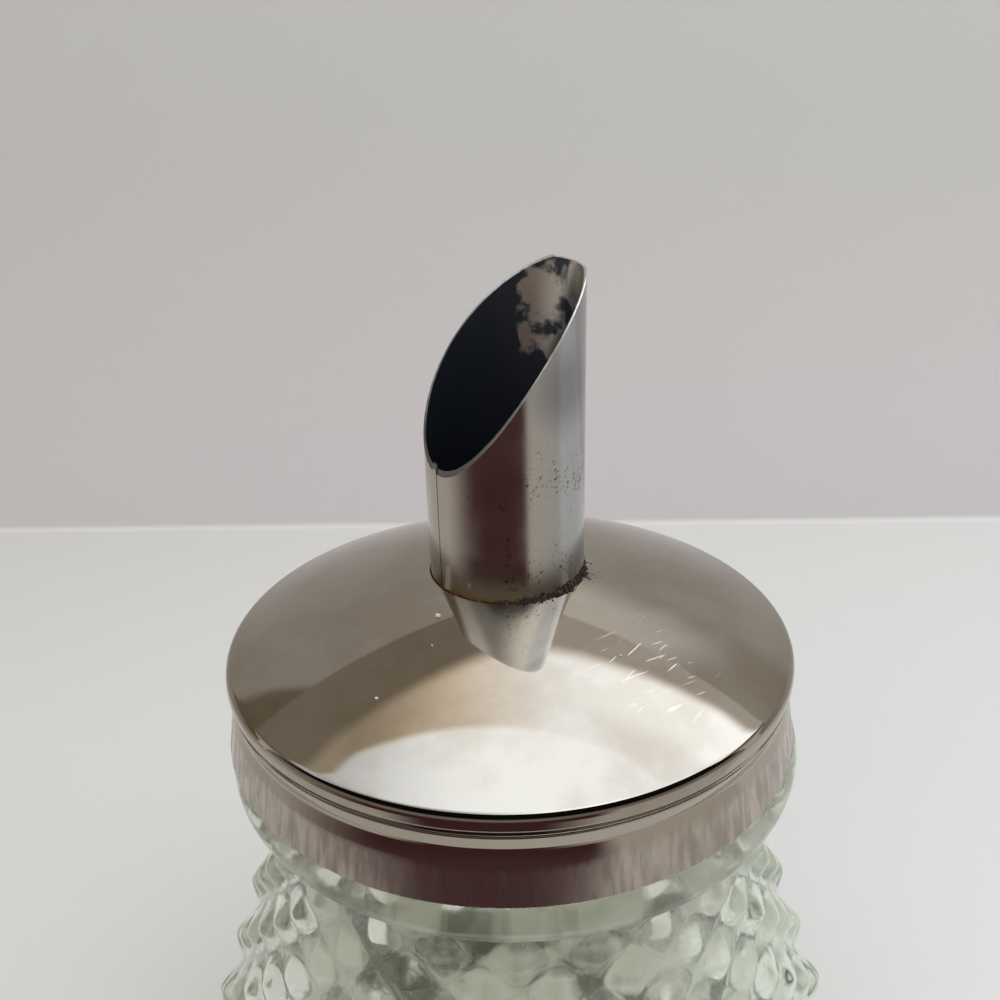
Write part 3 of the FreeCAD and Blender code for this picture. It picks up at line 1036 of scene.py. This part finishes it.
def painted_board(stage, cove):
    """Matt board: the floor, and a slightly darker backdrop that is paler
    towards the floor, olive-dark high up at the far left and right, and
    paler high up on the right, where a pool of light is painted."""
    material, tree = new_material("matt painted board")
    place = object_place(tree)
    across, _, height = coordinates(tree, place)
    wall = blended(tree, stepped(tree, height, 0.0, 160 * MM), linear("#CAC3C2"),
                   stage.wall_colour)
    tone = blended(tree, stepped(tree, height, 0.0, cove), stage.floor_colour, wall)
    # Painted light: a pale patch high up on the right of the backdrop stands in for light falling there.
    high = stepped(tree, height, 240 * MM, 340 * MM)
    right = stepped(tree, across, -20 * MM, 80 * MM)
    far_right = stepped(tree, across, 130 * MM, 330 * MM, 1.0, 0.1)
    pale = calculated(tree, "MULTIPLY", calculated(tree, "MULTIPLY", high, right), far_right)
    left_dark = stepped(tree, across, -315 * MM, -345 * MM)
    right_dark = stepped(tree, across, 170 * MM, 290 * MM, 0.0, 0.5)
    dark = calculated(tree, "MULTIPLY", stepped(tree, height, 180 * MM, 240 * MM),
                      calculated(tree, "ADD", left_dark, right_dark))
    return surfaced(material, {
        "Base Color": blended(tree, dark, blended(tree, pale, tone, linear("#EDECEA")),
                              linear("#8D8270")),
        "Roughness": 0.9,
        "Specular IOR Level": 0.2,
    })


def build_camera(settings):
    """Camera at the height and angle from which the dispenser is seen."""
    stage = settings.stage
    camera = bpy.data.objects.new("camera", bpy.data.cameras.new("camera"))
    bpy.context.scene.collection.objects.link(camera)
    camera.data.lens = stage.lens
    camera.data.sensor_width = 36.0
    camera.data.clip_start = 5.0 * MM
    tilt = Matrix.Rotation(0.5 * math.pi - stage.camera_tilt, 4, "X")
    heading = Matrix.Rotation(-stage.camera_turn, 4, "Z")
    roll = Matrix.Rotation(-stage.camera_roll, 4, "Z")
    height = lid_plane(settings) + stage.camera_rise
    place = Matrix.Translation((-settings.lid.offset, -stage.camera_distance, height))
    camera.matrix_world = place @ heading @ tilt @ roll
    bpy.context.scene.camera = camera


def area_light(name, place, target, width, depth, radiance, rgb):
    """A soft rectangular light aimed at a point, of that radiance."""
    light = bpy.data.lights.new(name, "AREA")
    light.shape = "RECTANGLE"
    light.size = width
    light.size_y = depth
    light.energy = radiance * math.pi * width * depth
    light.color = rgb
    lamp = bpy.data.objects.new(name, light)
    bpy.context.scene.collection.objects.link(lamp)
    lamp.location = place
    lamp.rotation_euler = (Vector(place) - Vector(target)).to_track_quat("Z", "Y").to_euler()
    return lamp


def panel(name, rows, material):
    """Flat or curved panel beside the set, out of the camera's sight."""
    board = sheet_through(name, rows, material)
    board.visible_camera = False
    board.visible_shadow = False
    return board


def glowing(material, tone, level):
    """The material with a surface that glows at that level."""
    glow = add_node(material.node_tree, "ShaderNodeEmission", None, {"Color": tone, "Strength": level})
    return finished(material, glow.outputs["Emission"])


def lit_fabric():
    """Stretched fabric over the lamps of the ceiling panel: cool and bright
    over the front of the lid, warmer behind it, dim towards the back, where
    it is olive on the left."""
    material, tree = new_material("lit fabric")
    place = object_place(tree)
    across, back, _ = coordinates(tree, place)
    olive, daylight = (1.12, 1.0, 0.8), (0.9, 1.0, 1.1)
    cool = stepped(tree, across, -480 * MM, 0.0, 0.95, 2.45)
    warm = stepped(tree, across, -340 * MM, 260 * MM, 0.55, 2.7)
    shaded = calculated(tree, "MULTIPLY", stepped(tree, across, 30 * MM, 240 * MM),
                        stepped(tree, back, 60 * MM, 130 * MM, -0.5, 0.0))
    warm = calculated(tree, "ADD", warm, shaded)
    slanted = calculated(tree, "MULTIPLY_ADD", across, 0.1, back)
    behind = stepped(tree, slanted, 42 * MM, 58 * MM)
    near_level = between(tree, behind, cool, warm)
    warmth = calculated(tree, "MULTIPLY", behind, stepped(tree, warm, 2.5, 0.7))
    near_tone = blended(tree, warmth, daylight, olive)
    right = stepped(tree, across, -100 * MM, 120 * MM)
    far_level = between(tree, right, 0.29, 0.76)
    far_tone = blended(tree, right, olive, (1.02, 1.0, 0.96))
    skewed = calculated(tree, "MULTIPLY_ADD", across, -0.15, back)
    bent = calculated(tree, "MULTIPLY_ADD", calculated(tree, "ABSOLUTE", across), 0.05, skewed)
    far = stepped(tree, bent, 190 * MM, 240 * MM)
    in_front = stepped(tree, back, -90 * MM, -190 * MM)
    sideways = stepped(tree, across, -160 * MM, 200 * MM, 0.45, 1.35)
    ahead = between(tree, in_front, 1.0, sideways)
    level = calculated(tree, "MULTIPLY", between(tree, far, near_level, far_level), ahead)
    tone = blended(tree, far, near_tone, far_tone)
    return glowing(material, tone, level)


def build_lights():
    """A large ceiling panel, a fill light that metal and glass don't show,
    and a curved screen in front that only polished metal shows."""
    ceiling = 596 * MM
    left, right, near, far = -700 * MM, 700 * MM, -400 * MM, 480 * MM
    sides = [[(x, near, ceiling), (x, far, ceiling)] for x in (left, right)]
    panel("ceiling_panel", sides, lit_fabric())
    place, aim = (-260 * MM, -470 * MM, 420 * MM), (0.0, 0.0, 50 * MM)
    radiance, warm_white = 1.1, (1.0, 0.965, 0.93)
    fill = area_light("fill_light", place, aim, 500 * MM, 400 * MM, radiance, warm_white)
    fill.visible_glossy = False
    fill.visible_transmission = False
    radius, near_share, foot_height, head_height, columns = 190 * MM, 0.42, 0.5 * MM, 395 * MM, 40
    first, last = -88.0, 82.0
    near_foot, foot, head = [], [], []
    for column in range(columns + 1):
        degrees = first + (last - first) * column / columns
        x, y = radius * math.sin(math.radians(degrees)), -radius * math.cos(math.radians(degrees))
        lost = 240 * MM if degrees < 0.0 else 150 * MM
        near_foot.append((near_share * x, near_share * y, foot_height))
        foot.append((x, y, foot_height))
        head.append((x, y, head_height - lost * (degrees / first) ** 2))
    screen = panel("front_screen", [near_foot, foot, head], glowing_screen())
    screen.visible_diffuse = False
    screen.visible_transmission = False


def glowing_screen():
    """Back-lit screen: nearly black above, dim in the middle, and below it
    brown-red in front with pale sides."""
    material, tree = new_material("back-lit screen")
    place = object_place(tree)
    across, back, height = coordinates(tree, place)
    ahead = calculated(tree, "MULTIPLY", back, -1.0)
    angle = calculated(tree, "ARCTAN2", across, ahead)
    pale, brown_red = (0.67, 0.66, 0.63), (0.085, 0.036, 0.04)
    bands = []
    # Degrees from straight ahead, first at the very foot, then above it.
    for starts, full, fades, ends in ((-52.0, -28.0, 8.0, 34.0), (-98.0, -42.0, 24.0, 35.0)):
        left = stepped(tree, angle, math.radians(starts), math.radians(full))
        right = stepped(tree, angle, math.radians(ends), math.radians(fades))
        middle = calculated(tree, "MULTIPLY", left, right)
        bands.append(blended(tree, middle, pale, brown_red))
    low = blended(tree, stepped(tree, height, 7 * MM, 14 * MM), bands[0], bands[1])
    grey, black = (0.3, 0.27, 0.24), (0.006, 0.005, 0.005)
    dim = blended(tree, stepped(tree, height, 75 * MM, 105 * MM), low, grey)
    tone = blended(tree, stepped(tree, height, 130 * MM, 165 * MM), dim, black)
    return glowing(material, tone, 1.0)


def build_world():
    """Plain pale surroundings, which polished metal shows darker above."""
    world = bpy.data.worlds.new("room")
    bpy.context.scene.world = world
    world.use_nodes = True
    tree = world.node_tree
    tree.nodes.clear()
    output = add_node(tree, "ShaderNodeOutputWorld")
    direction = add_node(tree, "ShaderNodeTexCoord").outputs["Generated"]
    height = coordinates(tree, direction)[2]
    upper = stepped(tree, height, 0.3, 0.5)
    mirrored = add_node(tree, "ShaderNodeLightPath").outputs["Is Glossy Ray"]
    darkened = calculated(tree, "MULTIPLY", upper, mirrored)
    tone = blended(tree, darkened, linear("#E0DEDC"), linear("#8B8474"))
    background = add_node(tree, "ShaderNodeBackground", None, {"Color": tone, "Strength": 1.0})
    tree.links.new(background.outputs["Background"], output.inputs["Surface"])


class DISPENSER_OT_stage(bpy.types.Operator):
    """Builds the camera, floor, backdrop and lights"""
    bl_idname = "dispenser.stage"
    bl_label = "Stage"

    def execute(self, context):
        settings = context.scene.dispenser
        build_camera(settings)
        build_floor(settings)
        build_lights()
        build_world()
        context.scene.view_settings.view_transform = "Standard"
        return {"FINISHED"}


# ---- Panel and registration ----------------------------------------------

OPERATORS = (
    DISPENSER_OT_stage,
    DISPENSER_OT_jar,
    DISPENSER_OT_lid,
    DISPENSER_OT_spout,
    DISPENSER_OT_rust_and_shade,
    DISPENSER_OT_grains,
)


class DISPENSER_PT_panel(bpy.types.Panel):
    """Lists the dispenser's pieces"""
    bl_idname = "DISPENSER_PT_panel"
    bl_label = "Sugar dispenser"
    bl_space_type = "VIEW_3D"
    bl_region_type = "UI"
    bl_category = "Dispenser"

    def draw(self, context):
        for operator in OPERATORS:
            self.layout.operator(operator.bl_idname)


CLASSES = (JarSizes, LidSizes, SpoutSizes, StageSettings, Settings) + OPERATORS + (DISPENSER_PT_panel,)


def register():
    for cls in CLASSES:
        bpy.utils.register_class(cls)
    bpy.types.Scene.dispenser = bpy.props.PointerProperty(type=Settings)


def unregister():
    del bpy.types.Scene.dispenser
    for cls in reversed(CLASSES):
        bpy.utils.unregister_class(cls)


def main():
    register()
    for operator in OPERATORS:
        group, name = operator.bl_idname.split(".")
        getattr(getattr(bpy.ops, group), name)()


if __name__ == "__main__":
    main()
